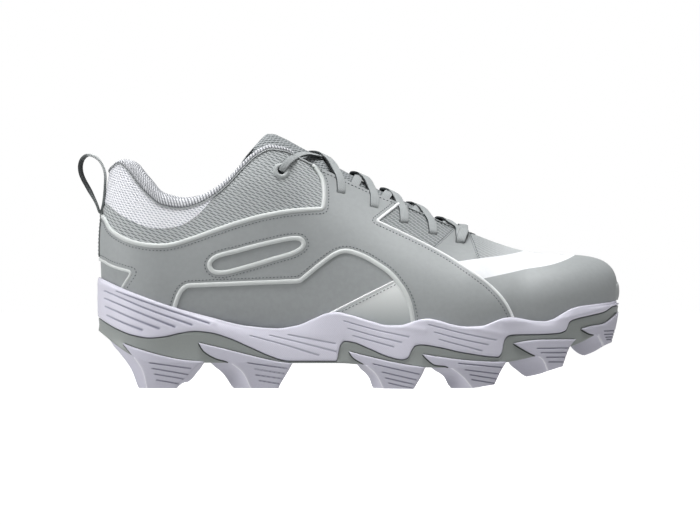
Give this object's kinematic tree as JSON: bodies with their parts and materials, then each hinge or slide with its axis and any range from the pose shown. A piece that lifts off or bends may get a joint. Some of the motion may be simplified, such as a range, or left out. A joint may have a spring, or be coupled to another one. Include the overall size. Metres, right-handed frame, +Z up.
{
  "type": "baseball cleat",
  "caption": "Low-cut right field shoe with moulded studs, a mesh and synthetic skin upper, flat laces, a heel pull loop and a wavy foam midsole on a hard plate.",
  "frame": {"origin": "on the floor under the middle of the shoe's box, pull loop included", "axes": "+X to the toe, +Y to the medial side, +Z up"},
  "size_m": [0.2806, 0.0986, 0.1319],
  "materials": {
    "upper": "matte synthetic skin over mesh",
    "lining": "knitted, padded",
    "tongue_mesh": "woven mesh",
    "sock_liner": "matte",
    "midsole_foam": "moulded foam, fine texture",
    "plate": "moulded, satin",
    "stud": "moulded, satin",
    "guard": "moulded, satin",
    "lace": "flat woven",
    "eyelet": "satin",
    "webbing": "ribbed webbing"
  },
  "bodies": {
    "root": {"upper": "upper", "collar_lining": "lining", "tongue": "tongue_mesh", "insole": "sock_liner", "midsole": "midsole_foam", "outsole_plate": "plate", "toe_guard": "guard", "laces": "lace", "eyelet_lateral": "eyelet", "eyelet_medial": "eyelet", "pull_loop": "webbing", "stud_centre": "stud", "stud_heel_rear_lateral": "stud", "stud_heel_rear_medial": "stud", "stud_heel_front_lateral": "stud", "stud_heel_front_medial": "stud", "stud_ball_rear_lateral": "stud", "stud_ball_rear_medial": "stud", "stud_ball_front_lateral": "stud", "stud_ball_front_medial": "stud", "stud_tread_lateral": "stud", "stud_tread_medial": "stud", "stud_toe_lateral": "stud", "stud_toe_medial": "stud"}
  },
  "joints": []
}
